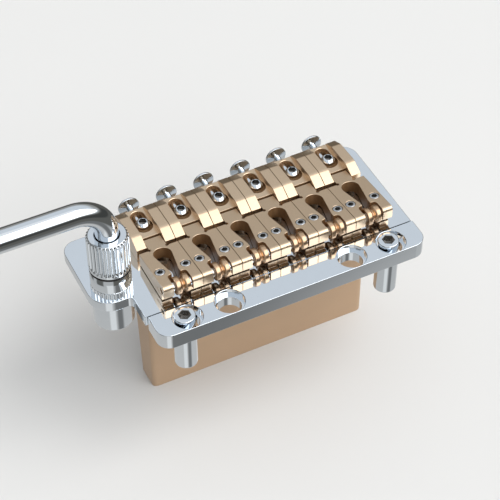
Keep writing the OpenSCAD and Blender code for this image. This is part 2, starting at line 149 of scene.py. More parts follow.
class BridgeSizes(bpy.types.PropertyGroup):
    """Sizes of the bridge's dressed pieces"""
    edge: length("Edge rounding", "Rounding of the plate's, bar's and block's edges", 0.18)
    fine_edge: length("Fine edge rounding", "Rounding of the saddles' and carriages' edges", 0.08)
    flute_radius: length("Flute radius", "Radius of a flute's section", 0.42)
    flute_rise: length("Flute rise", "How far a flute's centre stands outside the ring", 0.06)
    flute_count: bpy.props.IntProperty(name="Flutes", description="Flutes round each ring", default=32, min=8)
    arm_bend: length("Arm bend", "Radius of the arm's bend on its centre line", 8.0)


def colours():
    return bpy.context.scene.bridge_colours


def size(name):
    """A size of the panel, in millimetres."""
    return getattr(bpy.context.scene.bridge_sizes, name) / MM


# Shapes, drawn in millimetres

def rounded(corners, step=15):
    """An outline of (x, y, radius) corners with each corner filleted, as a list of points."""
    points = []
    for k, (x, y, r) in enumerate(corners):
        here = Vector((x, y))
        if r <= 0:
            points.append(here)
            continue
        u = (Vector(corners[k - 1][:2]) - here).normalized()
        v = (Vector(corners[(k + 1) % len(corners)][:2]) - here).normalized()
        half = u.angle(v) / 2
        centre = here + (u + v).normalized() * (r / math.sin(half))
        start = here + u * (r / math.tan(half)) - centre
        end = here + v * (r / math.tan(half)) - centre
        turn = math.atan2(start.x * end.y - start.y * end.x, start.dot(end))
        count = max(2, round(abs(math.degrees(turn)) / step))
        points += [centre + Matrix.Rotation(turn * i / count, 2) @ start for i in range(count + 1)]
    return [p for k, p in enumerate(points) if (p - points[k - 1]).length > 1e-4]


def inset(points, distance):
    """The outline moved inwards by the distance. Points run counter-clockwise."""
    moved = []
    for k, here in enumerate(points):
        a = (here - points[k - 1]).normalized()
        b = (points[(k + 1) % len(points)] - here).normalized()
        na, nb = Vector((-a.y, a.x)), Vector((-b.y, b.x))
        mean = (na + nb).normalized()
        moved.append(here + mean * (distance / max(0.4, mean.dot(na))))
    return moved


def round_levels(bottom, top, r_bottom, r_top, steps=3):
    """(inset, height) pairs up the side of a slab whose edges are rounded."""
    levels = []
    for k in range(steps + 1):
        a = math.pi / 2 * k / steps
        levels.append((r_bottom * (1 - math.sin(a)), bottom + r_bottom * (1 - math.cos(a))))
    for k in range(steps + 1):
        a = math.pi / 2 * k / steps
        levels.append((r_top * (1 - math.cos(a)), top - r_top * (1 - math.sin(a))))
    return levels


def skin(bm, rings, closed=False, socket_shade=()):
    """Joins rings of points into a skin. A ring of one point is a pole. Unless closed, the ends are capped.

    bare says for each pair of rings whether the faces between them take material index 1, the darker socket
    finish that is painted shade.
    """
    rows = [[bm.verts.new(p) for p in ring] for ring in rings]
    pairs = list(zip(rows, rows[1:])) + ([(rows[-1], rows[0])] if closed else [])
    for k, (a, b) in enumerate(pairs):
        for i in range(max(len(a), len(b))):
            j = i + 1
            ring = [a[i % len(a)], a[j % len(a)], b[j % len(b)], b[i % len(b)]]
            corners = list(dict.fromkeys(ring))
            if len(corners) > 2:
                bm.faces.new(corners).material_index = int(k < len(socket_shade) and socket_shade[k])
    if not closed:
        for row in (rows[0], rows[-1]):
            if len(row) > 2:
                bm.faces.new(row)


def slab(bm, outline, levels, place):
    """A prism through (inset, height) levels. place turns (x, y, height) into a point."""
    skin(bm, [[place(p.x, p.y, z) for p in inset(outline, d)] for d, z in levels])


def upright(x, y, z):
    return Vector((x, y, z))


def lying(y, z, x):
    """For a slab whose outline is a side view above the plate."""
    return Vector((x, y, TOP_Z + z))


def hexagon(angle):
    """Radius of a hexagon at an angle, for one whose flats are at radius 1."""
    return 1 / math.cos((angle + math.pi / 6) % (math.pi / 3) - math.pi / 6)


def turned(bm, profile, sides=48, centre=(0, 0, 0), axis="Z", closed=False):
    """A turned piece round an axis through centre.

    The profile has (radius, height) or (radius, height, "hex"). Faces between hexagons and down to the
    socket's floor take material index 1, the darker socket finish that is painted shade.
    """
    turns = {"X": Matrix.Rotation(math.pi / 2, 4, "Y"), "Y": Matrix.Rotation(-math.pi / 2, 4, "X"),
             "Z": Matrix()}
    place = Matrix.Translation(centre) @ turns[axis]
    rings, forms = [], [bool(form) for _, _, *form in profile]
    for r, z, *form in profile:
        if r == 0:
            rings.append([place @ Vector((0, 0, z))])
            continue
        ring = []
        for k in range(sides):
            a = 2 * math.pi * k / sides
            reach = r * hexagon(a) if form else r
            ring.append(place @ Vector((reach * math.cos(a), reach * math.sin(a), z)))
        rings.append(ring)
    socket_shade = [a and (b or profile[k + 1][0] == 0) for k, (a, b) in enumerate(zip(forms, forms[1:]))]
    skin(bm, rings, closed, socket_shade)


def rod(bm, radius, start, end, sides, centre, axis="Z"):
    """A plain cylinder, for cutting a hole."""
    turned(bm, [(0, start), (radius, start), (radius, end), (0, end)], sides, centre, axis)


def hex_socket(radius, top, rim, lead, depth, cone):
    """Profile of a hexagon socket in a screw's top: its rim, lead-in and flats, and the cone at its floor."""
    return [(radius + rim, top, "hex"), (radius, top - lead, "hex"), (radius, top - depth, "hex"),
            (0, top - depth - cone)]


def soft_profile(points, default=0.1, steps=3):
    """A profile of (radius, height[, rounding]) points with its corners eased. The ends stay as they are."""
    result = [tuple(points[0][:2])]
    for a, b, c in zip(points, points[1:], points[2:]):
        ease = b[2] if len(b) > 2 else default
        before, here, after = Vector(a[:2]), Vector(b[:2]), Vector(c[:2])
        u, v = before - here, after - here
        ease = min(ease, 0.45 * u.length, 0.45 * v.length)
        if ease <= 0:
            result.append(tuple(here))
            continue
        start, end = here + u.normalized() * ease, here + v.normalized() * ease
        for k in range(steps + 1):
            t = k / steps
            result.append(tuple(start * (1 - t) ** 2 + here * 2 * t * (1 - t) + end * t ** 2))
    result.append(tuple(points[-1][:2]))
    return result


def new_object(name, bm):
    """An object in metres made from a bmesh drawn in millimetres."""
    bmesh.ops.remove_doubles(bm, verts=bm.verts, dist=1e-4)
    bmesh.ops.recalc_face_normals(bm, faces=bm.faces)
    mesh = bpy.data.meshes.new(name)
    bm.to_mesh(mesh)
    bm.free()
    mesh.transform(Matrix.Scale(MM, 4))
    obj = bpy.data.objects.new(name, mesh)
    bpy.context.scene.collection.objects.link(obj)
    return obj


def drawn(name, draw):
    """An object whose mesh the draw function puts into a bmesh."""
    bm = bmesh.new()
    draw(bm)
    return new_object(name, bm)


def combine(obj, other, operation):
    """Cuts the other object from obj, or joins it, and deletes the other object."""
    modifier = obj.modifiers.new("combine", "BOOLEAN")
    modifier.operation = operation
    modifier.solver = "EXACT"
    modifier.object = other
    settle(obj)
    bpy.data.objects.remove(other)


def settle(obj):
    """Turns the object with its modifiers into a plain mesh."""
    graph = bpy.context.evaluated_depsgraph_get()
    graph.update()
    mesh = bpy.data.meshes.new_from_object(obj.evaluated_get(graph))
    old = obj.data
    obj.modifiers.clear()
    obj.data = mesh
    bpy.data.meshes.remove(old)


def smooth(obj, angle=40):
    """Smooth shading that keeps flat faces flat and creases sharper than the angle sharp."""
    obj.data.shade_smooth()
    obj.data.set_sharp_from_angle(angle=math.radians(angle))
    modifier = obj.modifiers.new("flat faces", "WEIGHTED_NORMAL")
    modifier.mode = "FACE_AREA"
    modifier.weight = 50
    modifier.keep_sharp = True


def dress(obj, material, body, *nodes, inner="socket_shade"):
    """Gives a finished piece its material and puts it in the place of CAD nodes on their body.

    Faces of material index 1 are sockets, recesses, undersides or faces across narrow gaps and get the inner
    finish, whose darker colour is painted shade.
    """
    index = [int(face.material_index == 1) for face in obj.data.polygons]
    obj.data.materials.clear()
    obj.data.materials.append(material)
    if any(index):
        obj.data.materials.append(finish(inner))
        obj.data.polygons.foreach_set("material_index", index)
    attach(obj, body)
    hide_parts(*nodes)


def paint(material, *nodes):
    """Gives CAD nodes that stay their material."""
    for node in nodes:
        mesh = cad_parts[node].data
        mesh.materials.clear()
        mesh.materials.append(material)


SLOT_OF = {
    "pivot_bar": "chrome", "stud_bass": "chrome", "sleeve_bass": "chrome", "base_plate": "chrome",
    "tone_block": "block", "arm_socket": "chrome", "arm_lock_ring": "chrome", "arm_spacer_ring": "chrome",
    "arm_seal": "rubber", "arm_collar": "chrome", "tremolo_arm": "chrome", "saddle_": "bronze",
    "carriage_": "bronze", "roller_": "copper", "saddle_pins_": "chrome", "height_screws_": "steel",
    "clamp_screw_": "chrome", "thumb_screw_": "chrome",
}


# Geometry node trees for what repeats or follows a path

def new_tree(name, inputs):
    """A geometry tree with a mesh in and out and named inputs of (name, socket kind, default)."""
    tree = bpy.data.node_groups.new(name, "GeometryNodeTree")
    tree.interface.new_socket("Geometry", in_out="INPUT", socket_type="NodeSocketGeometry")
    tree.interface.new_socket("Geometry", in_out="OUTPUT", socket_type="NodeSocketGeometry")
    for label, kind, default in inputs:
        socket = tree.interface.new_socket(label, in_out="INPUT", socket_type=kind)
        if default is not None:
            socket.default_value = default
    return tree, add_node(tree, "NodeGroupInput").outputs, add_node(tree, "NodeGroupOutput")


def close_tree(tree, geometry, material, out, keep_sockets=False):
    """Ends a tree in Realize Instances and Set Material, which can leave faces of material index 1 alone."""
    real = add_node(tree, "GeometryNodeRealizeInstances", {"Geometry": geometry}).outputs["Geometry"]
    coat = add_node(tree, "GeometryNodeSetMaterial", {"Geometry": real, "Material": material})
    if keep_sockets:
        index = add_node(tree, "GeometryNodeInputMaterialIndex").outputs[0]
        plated = add_node(tree, "FunctionNodeCompare", {2: index}, {3: 1},
                          data_type="INT", operation="NOT_EQUAL")
        tree.links.new(plated.outputs[0], coat.inputs["Selection"])
    tree.links.new(coat.outputs["Geometry"], out.inputs["Geometry"])


def grow(obj, tree, **values):
    """Runs a tree on the object and turns the result into a plain mesh."""
    modifier = obj.modifiers.new(tree.name, "NODES")
    modifier.node_group = tree
    for item in tree.interface.items_tree:
        key = item.name.replace(" ", "_").lower()
        if item.in_out == "INPUT" and key in values:
            modifier[item.identifier] = values[key]
    settle(obj)


def made(name, maker):
    """The tree of that name, made once."""
    return bpy.data.node_groups.get(name) or maker()


def math_node(tree, operation, *values):
    """A math node's result. Values are sockets or numbers."""
    links = {i: v for i, v in enumerate(values) if isinstance(v, bpy.types.NodeSocket)}
    plain = {i: v for i, v in enumerate(values) if not isinstance(v, bpy.types.NodeSocket)}
    return add_node(tree, "ShaderNodeMath", links, plain, operation=operation).outputs[0]


def xyz_node(tree, x=None, y=None, z=None):
    """A vector made of the parts that are given."""
    parts = {axis: part for axis, part in zip("XYZ", (x, y, z)) if part is not None}
    return add_node(tree, "ShaderNodeCombineXYZ", parts).outputs[0]


def row_tree():
    """Repeats a piece in a row along X."""
    tree, given, out = new_tree("row of pieces", [
        ("Count", "NodeSocketInt", 2), ("Spacing", "NodeSocketFloat", 0.01),
        ("Start", "NodeSocketVector", None), ("Material", "NodeSocketMaterial", None)])
    step = xyz_node(tree, given["Spacing"])
    line = add_node(tree, "GeometryNodeMeshLine", {
        "Count": given["Count"], "Start Location": given["Start"], "Offset": step})
    copies = add_node(tree, "GeometryNodeInstanceOnPoints", {
        "Points": line.outputs["Mesh"], "Instance": given["Geometry"]})
    close_tree(tree, copies.outputs["Instances"], given["Material"], out, keep_sockets=True)
    return tree


def flute_tree():
    """Presses upright flutes into the outer wall of a ring on the Z axis, then moves it to its place."""
    tree, given, out = new_tree("fluted ring", [
        ("Count", "NodeSocketInt", 32), ("Flute radius", "NodeSocketFloat", 0.0004),
        ("Off centre", "NodeSocketFloat", 0.0), ("Ring radius", "NodeSocketFloat", 0.005),
        ("From", "NodeSocketFloat", 0.0), ("To", "NodeSocketFloat", 0.01),
        ("Place", "NodeSocketVector", None), ("Material", "NodeSocketMaterial", None)])
    here = add_node(tree, "GeometryNodeInputPosition").outputs[0]
    xyz = add_node(tree, "ShaderNodeSeparateXYZ", {"Vector": here}).outputs
    angle = math_node(tree, "ARCTAN2", xyz["Y"], xyz["X"])
    turns = math_node(tree, "DIVIDE", math_node(tree, "MULTIPLY", angle, given["Count"]), math.tau)
    off = math_node(tree, "SUBTRACT", turns, math_node(tree, "ROUND", turns))
    round_ring = math_node(tree, "MULTIPLY", given["Ring radius"], math.tau)
    pitch = math_node(tree, "DIVIDE", round_ring, given["Count"])
    across = math_node(tree, "MULTIPLY", off, pitch)
    # The flutes' ends are round, so the distance from a flute's centre line grows past its ends
    below = math_node(tree, "MAXIMUM", math_node(tree, "SUBTRACT", given["From"], xyz["Z"]), 0.0)
    above = math_node(tree, "MAXIMUM", math_node(tree, "SUBTRACT", xyz["Z"], given["To"]), 0.0)
    squares = [math_node(tree, "MULTIPLY", v, v) for v in (given["Flute radius"], across, below, above)]
    rest = squares[0]
    for square in squares[1:]:
        rest = math_node(tree, "SUBTRACT", rest, square)
    half_width = math_node(tree, "SQRT", math_node(tree, "MAXIMUM", rest, 0.0))
    depth = math_node(tree, "MAXIMUM", math_node(tree, "SUBTRACT", half_width, given["Off centre"]), 0.0)
    reach = add_node(tree, "ShaderNodeVectorMath", {0: xyz_node(tree, xyz["X"], xyz["Y"])},
                     operation="LENGTH").outputs["Value"]
    wall = math_node(tree, "SUBTRACT", given["Ring radius"], given["Flute radius"])
    outer = math_node(tree, "GREATER_THAN", reach, wall)
    wanted = math_node(tree, "MINIMUM", reach, math_node(tree, "SUBTRACT", given["Ring radius"], depth))
    share = math_node(tree, "DIVIDE", wanted, math_node(tree, "MAXIMUM", reach, 1e-6))
    moved = xyz_node(tree, math_node(tree, "MULTIPLY", xyz["X"], share),
                     math_node(tree, "MULTIPLY", xyz["Y"], share), xyz["Z"])
    pressed = add_node(tree, "GeometryNodeSetPosition", {
        "Geometry": given["Geometry"], "Selection": outer, "Position": moved}).outputs[0]
    placed = add_node(tree, "GeometryNodeTransform", {"Geometry": pressed, "Translation": given["Place"]})
    close_tree(tree, placed.outputs[0], given["Material"], out)
    return tree


def rod_tree():
    """Bends a path of straight edges and sweeps a round rod along it, thinner where its share is less."""
    tree, given, out = new_tree("bent rod", [
        ("Rod radius", "NodeSocketFloat", 0.003), ("Bend radius", "NodeSocketFloat", 0.008),
        ("Material", "NodeSocketMaterial", None)])
    path = add_node(tree, "GeometryNodeMeshToCurve", {"Mesh": given["Geometry"]}).outputs[0]
    bend = add_node(tree, "GeometryNodeFilletCurve", {"Curve": path, "Radius": given["Bend radius"]})
    choose(bend, "POLY")
    bend.inputs["Count"].default_value = 32
    bend.inputs["Limit Radius"].default_value = True
    ring = add_node(tree, "GeometryNodeCurvePrimitiveCircle", {"Radius": given["Rod radius"]},
                    {"Resolution": 64}).outputs[0]
    share = add_node(tree, "GeometryNodeInputNamedAttribute", None, {"Name": "share"}, data_type="FLOAT")
    sized = add_node(tree, "GeometryNodeSetCurveRadius", {
        "Curve": bend.outputs[0], "Radius": share.outputs["Attribute"]}).outputs[0]
    sweep = add_node(tree, "GeometryNodeCurveToMesh", {"Curve": sized, "Profile Curve": ring},
                     {"Fill Caps": True})
    if "Scale" in sweep.inputs:
        tree.links.new(share.outputs["Attribute"], sweep.inputs["Scale"])
    close_tree(tree, sweep.outputs[0], given["Material"], out)
    return tree


def choose(node, mode):
    """Sets a node's mode, which is a property in some versions and an input in others."""
    if hasattr(node, "mode"):
        node.mode = mode
    else:
        node.inputs["Mode"].default_value = mode.title()


# Materials

def new_material(name, metallic=0.0):
    """A material with its tree, its shader's inputs and the place on the object that patterns follow."""
    material = bpy.data.materials.new(name)
    material.use_nodes = True
    tree = material.node_tree
    shader = tree.nodes["Principled BSDF"].inputs
    shader["Metallic"].default_value = metallic
    place = add_node(tree, "ShaderNodeTexCoord").outputs["Object"]
    return material, tree, shader, place


def noise(tree, place, grain_mm, detail=2.0, stretch=(1, 1, 1), roughness=0.5):
    """Noise whose grain has a real size. A stretch above 1 draws the grain out along that axis."""
    scaled = add_node(tree, "ShaderNodeMapping", {"Vector": place},
                      {"Scale": [1 / (grain_mm * MM * s) for s in stretch]}).outputs[0]
    return add_node(tree, "ShaderNodeTexNoise", {"Vector": scaled},
                    {"Scale": 1.0, "Detail": detail, "Roughness": roughness}).outputs["Fac"]


def between(tree, value, low_value, high_value, start=0.3, end=0.7):
    """Maps a noise's middle range onto two values."""
    return add_node(tree, "ShaderNodeMapRange", {"Value": value}, {
        "From Min": start, "From Max": end, "To Min": low_value, "To Max": high_value}).outputs["Result"]


def tone(tree, value, base, dark, light, start=0.3, end=0.7):
    """A ramp from a darker to a lighter tone of the base colour."""
    ramp = add_node(tree, "ShaderNodeValToRGB", {"Fac": value})
    ends = ramp.color_ramp.elements
    ends[0].position, ends[1].position = start, end
    ends[0].color = [c * dark for c in base[:3]] + [1]
    ends[1].color = [min(1.0, c * light) for c in base[:3]] + [1]
    return ramp.outputs["Color"]


def bump(tree, height, distance_mm):
    return add_node(tree, "ShaderNodeBump", {"Height": height},
                    {"Strength": 1.0, "Distance": distance_mm * MM}).outputs["Normal"]


def plug(tree, shader, base_colour, roughness, normal=None):
    """Feeds the shader's colour, its roughness and, if it is given, its normal."""
    for name, result in (("Base Color", base_colour), ("Roughness", roughness), ("Normal", normal)):
        if result is not None:
            tree.links.new(result, shader[name])


def chrome_plating():
    """Bright chrome plating on polished steel: a near-perfect mirror that hairlines soften a little."""
    material, tree, shader, place = new_material("chrome_plating", metallic=1.0)
    haze = noise(tree, place, 2.5, 3)
    hairlines = noise(tree, place, 0.12, 2, (14, 1, 1))
    # Real hairlines are microns deep, drawn just deep enough to break up a highlight's edge
    plug(tree, shader, tone(tree, haze, colours().chrome, 0.985, 1.0),
         between(tree, haze, 0.02, 0.05), bump(tree, hairlines, 0.0006))
    return material


def brushed_bronze():
    """Bronze plating over fine brushing: soft reflections drawn out along the strings, with a faint grain."""
    material, tree, shader, place = new_material("brushed_bronze_plating", metallic=1.0)
    # Brush marks are about 0.05 mm wide, drawn at 0.09 mm so that they show from a hand's distance
    marks = noise(tree, place, 0.09, 2, (1, 12, 1))
    grain = noise(tree, place, 0.16, 2)
    plug(tree, shader, tone(tree, grain, colours().bronze, 0.93, 1.04),
         between(tree, marks, 0.28, 0.38), bump(tree, marks, 0.0016))
    return material


def recess_bronze_painted_shade():
    """Bronze for recesses, undersides and faces across gaps: duller, and its darker colour is painted shade.
    """
    material, tree, shader, place = new_material("dull_bronze_recess", metallic=0.35)
    # Weak reflection, which with the darker colour paints the shade of recesses and gaps
    shader["Specular IOR Level"].default_value = 0.2
    marks = noise(tree, place, 0.15, 2, (1, 1, 6))
    plug(tree, shader, tone(tree, marks, colours().recess, 0.9, 1.1),
         between(tree, marks, 0.4, 0.5), bump(tree, marks, 0.002))
    return material


def block_coating():
    """Baked bronze-tone coating on a bead-blasted block: matte, even, with a very fine tooth."""
    material, tree, shader, place = new_material("bronze_tone_coating")
    tooth = noise(tree, place, 0.11, 2)
    cloud = noise(tree, place, 9.0, 2)
    plug(tree, shader, tone(tree, cloud, colours().block, 0.985, 1.015),
         between(tree, tooth, 0.42, 0.52), bump(tree, tooth, 0.004))
    return material


def turned_copper():
    """Copper bronze turned on a lathe: warm, bright, with rings round the roller's axis."""
    material, tree, shader, place = new_material("turned_copper_bronze", metallic=1.0)
    # Turning marks follow the feed along the axis, which is X
    rings = noise(tree, place, 0.07, 1, (1, 40, 40))
    cloud = noise(tree, place, 0.8, 2)
    plug(tree, shader, tone(tree, cloud, colours().copper, 0.93, 1.03),
         between(tree, rings, 0.24, 0.34), bump(tree, rings, 0.002))
    return material


def bright_steel():
    """Bright plated steel of small screws and rods: a mirror softened by tool marks."""
    material, tree, shader, place = new_material("bright_steel", metallic=1.0)
    marks = noise(tree, place, 0.15, 2)
    plug(tree, shader, tone(tree, marks, colours().steel, 0.95, 1.03),
         between(tree, marks, 0.08, 0.18), bump(tree, marks, 0.001))
    return material


def shaded_socket_steel():
    """Inside of a broached socket: a dull sheen, and a grey darker than the steel that is painted shade."""
    material, tree, shader, place = new_material("broached_socket", metallic=1.0)
    marks = noise(tree, place, 0.2, 2)
    # The grey darker than the steel is painted shade inside the socket
    plug(tree, shader, tone(tree, marks, tint("#9A9895"), 0.92, 1.08),
         between(tree, marks, 0.16, 0.28), bump(tree, marks, 0.004))
    return material


def black_rubber():
    """Moulded nitrile rubber: near black, dull, slightly mottled."""
    material, tree, shader, place = new_material("black_rubber")
    mottle = noise(tree, place, 0.3, 3)
    plug(tree, shader, tone(tree, mottle, colours().rubber, 0.8, 1.3),
         between(tree, mottle, 0.5, 0.65), bump(tree, mottle, 0.01))
    return material


def white_nylon():
    """Moulded nylon: milky and waxy, lit a little from within."""
    material, tree, shader, place = new_material("white_nylon")
    cloud = noise(tree, place, 1.2, 2)
    plug(tree, shader, tone(tree, cloud, colours().nylon, 0.96, 1.02),
         between(tree, cloud, 0.35, 0.45))
    shader["Subsurface Weight"].default_value = 0.15
    shader["Subsurface Radius"].default_value = (0.0006, 0.0005, 0.0004)
    return material


MAKERS = {
    "chrome": chrome_plating, "bronze": brushed_bronze, "recess": recess_bronze_painted_shade, "block": block_coating,
    "copper": turned_copper, "steel": bright_steel, "socket_shade": shaded_socket_steel, "rubber": black_rubber,
    "nylon": white_nylon,
}
MADE = {}


def finish(slot):
    """The material of a slot, made once."""
    if slot not in MADE:
        MADE[slot] = MAKERS[slot]()
    return MADE[slot]


# Bar, studs and sleeves

HOLE_SPACING, INNER_SPACING = 56.0, 33.6
# The studs stand this far to the bass side of their holes' middles
STUD_SHIFT = 0.8
# The edges that face each other across the pivot are nearly sharp: this share of the other edges' rounding
JOINT_EDGE = 0.2


class BRIDGE_OT_bar(bpy.types.Operator):
    """Pivot bar with its four counterbored holes"""
    bl_idname = "bridge.bar"
    bl_label = "Pivot bar"

    def execute(self, context):
        a, b, edge = low("pivot_bar"), high("pivot_bar"), size("edge")
        corner, rear_corner = 3.5, 0.15
        outline = rounded([(a.x, a.y, corner), (b.x, a.y, corner), (b.x, b.y, rear_corner),
                           (a.x, b.y, rear_corner)])
        levels = round_levels(a.z, b.z, edge, edge)

        def sharp_rear(x, y, z):
            return Vector((x, b.y - (b.y - y) * JOINT_EDGE if y > b.y - edge * 1.01 else y, z))
        bar = drawn("pivot_bar_looks", lambda bm: slab(bm, outline, levels, sharp_rear))
        hole_r, sink_r, sink_z, rim = 2.9, 3.8, b.z - SEAT_DEPTH, 0.13
        profile = soft_profile([(0, a.z - PAST), (hole_r, a.z - PAST, 0), (hole_r, sink_z, 0.12),
                                (sink_r, sink_z, 0), (sink_r, b.z - rim, 0), (sink_r + rim, b.z, 0.1),
                                (sink_r + rim, b.z + PAST, 0), (0, b.z + PAST)])

        def holes(bm):
            for spacing in (HOLE_SPACING, INNER_SPACING):
                for side in (-1, 1):
                    turned(bm, profile, 64, (side * spacing / 2, 0, 0))
        combine(bar, drawn("holes", holes), "DIFFERENCE")
        smooth(bar)
        dress(bar, finish("chrome"), "bar", "pivot_bar")
        return {"FINISHED"}


class BRIDGE_OT_studs(bpy.types.Operator):
    """Two studs with round socket heads, and the sleeves that they screw into"""
    bl_idname = "bridge.studs"
    bl_label = "Studs and sleeves"

    def execute(self, context):
        row = made("row of pieces", row_tree)
        a, b = low("stud_bass"), high("stud_bass")
        head_r, neck_r, tip, seat_z, hex_r = 2.72, 2.0, 0.4, TOP_Z - SEAT_DEPTH, 1.35
        stud = soft_profile([(0, a.z), (neck_r - tip, a.z, 0), (neck_r, a.z + tip, 0.1),
                             (neck_r, seat_z, 0.05), (head_r, seat_z, 0.15), (head_r, b.z, 0.32),
                             (hex_r + 0.35, b.z)])
        stud += hex_socket(hex_r, b.z, rim=0.12, lead=0.12, depth=1.9, cone=0.3)
        grow_row("studs_looks", stud, row, 2, HOLE_SPACING, "bar", "stud_bass", "stud_treble")
        a, b = low("sleeve_bass"), high("sleeve_bass")
        r, bore, floor_z = 2.9, 2.05, a.z + 1
        sleeve = soft_profile([(0, a.z), (r, a.z, 0.5), (r, b.z, 0.05), (bore, b.z, 0.05),
                               (bore, floor_z, 0.1), (0, floor_z)])
        grow_row("sleeves_looks", sleeve, row, 2, HOLE_SPACING, "bar", "sleeve_bass", "sleeve_treble")
        return {"FINISHED"}


def grow_row(name, profile, tree, count, spacing, body, *nodes, y=0.0, first=None):
    """Turned pieces in a row along X, the first at the first x."""
    piece = drawn(name, lambda bm: turned(bm, profile))
    piece.data.materials.append(finish("chrome"))
    # Sockets take the second, darker finish: painted shade
    piece.data.materials.append(finish("socket_shade"))
    start = -spacing / 2 - STUD_SHIFT if first is None else first
    material = finish(SLOT_OF[nodes[0].rstrip("123456")])
    grow(piece, tree, count=count, spacing=spacing * MM, start=(start * MM, y * MM, 0.0), material=material)
    smooth(piece)
    dress(piece, material, body, *nodes)


# Plate, block and their small parts

class BRIDGE_OT_plate(bpy.types.Operator):
    """Base plate with its wing for the arm holder"""
    bl_idname = "bridge.plate"
    bl_label = "Base plate"

    def execute(self, context):
        a, b, edge = low("base_plate"), high("base_plate"), size("edge")
        left, wing_left, wing_front, wing_rear = -37.3, -46.65, 11.78, 35.7
        outline = rounded([(left, a.y, 0.15), (b.x, a.y, 0.15), (b.x, b.y, 4.0), (left, b.y, 0.8),
                           (left, wing_rear, 0), (wing_left, wing_rear, 3.7), (wing_left, wing_front, 5.6),
                           (left, wing_front, 1.3)])
        levels = round_levels(a.z, b.z, edge, edge)
        # The front edge comes this much nearer the bar, which leaves a seam as thin as it looks
        forward = 0.07

        def sharp_front(x, y, z):
            return Vector((x, a.y - forward + (y - a.y) * JOINT_EDGE if y < a.y + edge * 1.01 else y, z))
        plate = drawn("base_plate_looks", lambda bm: slab(bm, outline, levels, sharp_front))
        socket_hole_r, clamp_hole_r, clamp_y, rod_r = 4.05, 1.2, 30.1, 0.9

        def holes(bm):
            rod(bm, socket_hole_r, a.z - PAST, b.z + PAST, 48, (ARM_AXIS.x, ARM_AXIS.y, 0))
            for n in STRINGS:
                for y, r in ((STRING_HOLE_Y, BALL_SEAT_R), (clamp_y, clamp_hole_r)):
                    rod(bm, r, a.z - PAST, b.z + PAST, 32, (string_x(n), y, 0))
            for node in ("fulcrum_rod_bass", "fulcrum_rod_treble"):
                place = (0, middle("fulcrum_rod_bass").y, middle("fulcrum_rod_bass").z)
                rod(bm, rod_r, low(node).x, high(node).x, 24, place, "X")
        combine(plate, drawn("holes", holes), "DIFFERENCE")
        smooth(plate)
        dress(plate, finish("chrome"), "plate", "base_plate")
        paint(finish("steel"), "fulcrum_rod_bass", "fulcrum_rod_treble", "block_screws")
        return {"FINISHED"}


class BRIDGE_OT_block(bpy.types.Operator):
    """Tapered tone block with its string holes and spring holes"""
    bl_idname = "bridge.block"
    bl_label = "Tone block"

    def execute(self, context):
        a, b, edge = low("tone_block"), high("tone_block"), size("edge")
        foot_t, top_t, top_edge = 7.1, b.y - a.y, 0.05
        outline = rounded([(a.x, a.y, 1.7), (b.x, a.y, 1.7), (b.x, b.y, 0.4), (a.x, b.y, 0.4)], 10)
        levels = round_levels(a.z, b.z, edge, top_edge)

        def tapered(x, y, z):
            share = (z - a.z) / (b.z - a.z)
            return Vector((x, a.y + (y - a.y) * (foot_t + (top_t - foot_t) * share) / top_t, z))
        block = drawn("tone_block_looks", lambda bm: slab(bm, outline, levels, tapered))
        string_r, seat_z, seat_cone, spring_r, spring_z, spring_cone = 1.6, a.z + 12, 0.5, 1.3, a.z + 6.4, 0.6

        def mouth(r, rim=0.25):
            """A hole's chamfered mouth in the block's foot."""
            return [(0, a.z - PAST), (r + rim, a.z - PAST), (r + rim, a.z), (r, a.z + rim)]
        string_hole = mouth(BALL_SEAT_R) + [(BALL_SEAT_R, seat_z), (string_r, seat_z + seat_cone),
                                            (string_r, b.z + PAST), (0, b.z + PAST)]
        spring_hole = mouth(spring_r) + [(spring_r, spring_z), (0, spring_z + spring_cone)]

        def holes(bm):
            for n in STRINGS:
                turned(bm, string_hole, 40, (string_x(n), STRING_HOLE_Y, 0))
            for k in range(-2, 3):
                turned(bm, spring_hole, 32, (k * PITCH, a.y + foot_t / 2, 0))
        combine(block, drawn("holes", holes), "DIFFERENCE")
        smooth(block)
        dress(block, finish("block"), "plate", "tone_block")
        return {"FINISHED"}


# Arm and its holder

def ring_around_arm(name, profile, node, body, slot, flutes=None):
    """A turned ring round the arm's axis, with flutes between two heights if they are given."""
    count = bpy.context.scene.bridge_sizes.flute_count if flutes else 1
    piece = drawn(name, lambda bm: turned(bm, profile, 12 * count if flutes else 96, closed=True))
    start, end = flutes or (1.0, 0.0)
    outer = max(r for r, *_ in profile)
    radius = size("flute_radius") if flutes else 0.0
    grow(piece, made("fluted ring", flute_tree), count=count, flute_radius=radius * MM,
         off_centre=size("flute_rise") * MM, ring_radius=outer * MM,
         **{"from": start * MM, "to": end * MM}, place=(ARM_AXIS.x * MM, ARM_AXIS.y * MM, 0.0),
         material=finish(slot))
    smooth(piece, 50)
    dress(piece, finish(slot), body, node)


